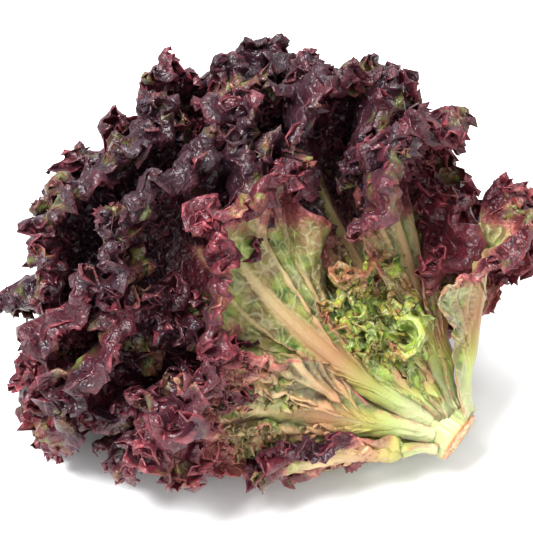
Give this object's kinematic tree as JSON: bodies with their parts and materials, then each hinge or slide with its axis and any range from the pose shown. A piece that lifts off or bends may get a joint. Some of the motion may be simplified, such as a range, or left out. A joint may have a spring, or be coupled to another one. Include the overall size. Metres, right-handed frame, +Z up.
{
  "type": "red curly lettuce",
  "caption": "Head of red curly lettuce lying on its side: a cut stem, pale branching ribs and dark red, frilled leaves.",
  "frame": {"origin": "on the table, below the middle of the head's box", "axes": "+Z up. The head lies on its side: its axis runs from the cut stem, at +X -Y, to the crown, at -X +Y, and climbs at 18 degrees"},
  "size_m": [0.2631, 0.2385, 0.178],
  "materials": {
    "red_leaf": "waxy satin, dark red over green",
    "two_tone_leaf": "waxy satin, green at the rib and red at the margin",
    "young_leaf": "moist satin, yellow green with brown edges",
    "cut_stem": "dry cut, tan with a browned rim"
  },
  "bodies": {
    "root": {"heart": "red_leaf", "low_back_leaf": "red_leaf", "low_left_leaf": "red_leaf", "top_leaf": "red_leaf", "front_leaf": "red_leaf", "back_leaf": "red_leaf", "under_leaf": "red_leaf", "middle_leaf_top": "red_leaf", "middle_leaf_back": "red_leaf", "middle_leaf_low": "red_leaf", "inner_leaf_top": "red_leaf", "inner_leaf_front": "red_leaf", "inner_leaf_under": "red_leaf", "inner_leaf_back": "red_leaf", "right_leaf": "two_tone_leaf", "low_front_leaf": "two_tone_leaf", "resting_leaf": "two_tone_leaf", "branching_leaf": "two_tone_leaf", "young_leaves": "young_leaf", "stem": "cut_stem"}
  },
  "joints": []
}
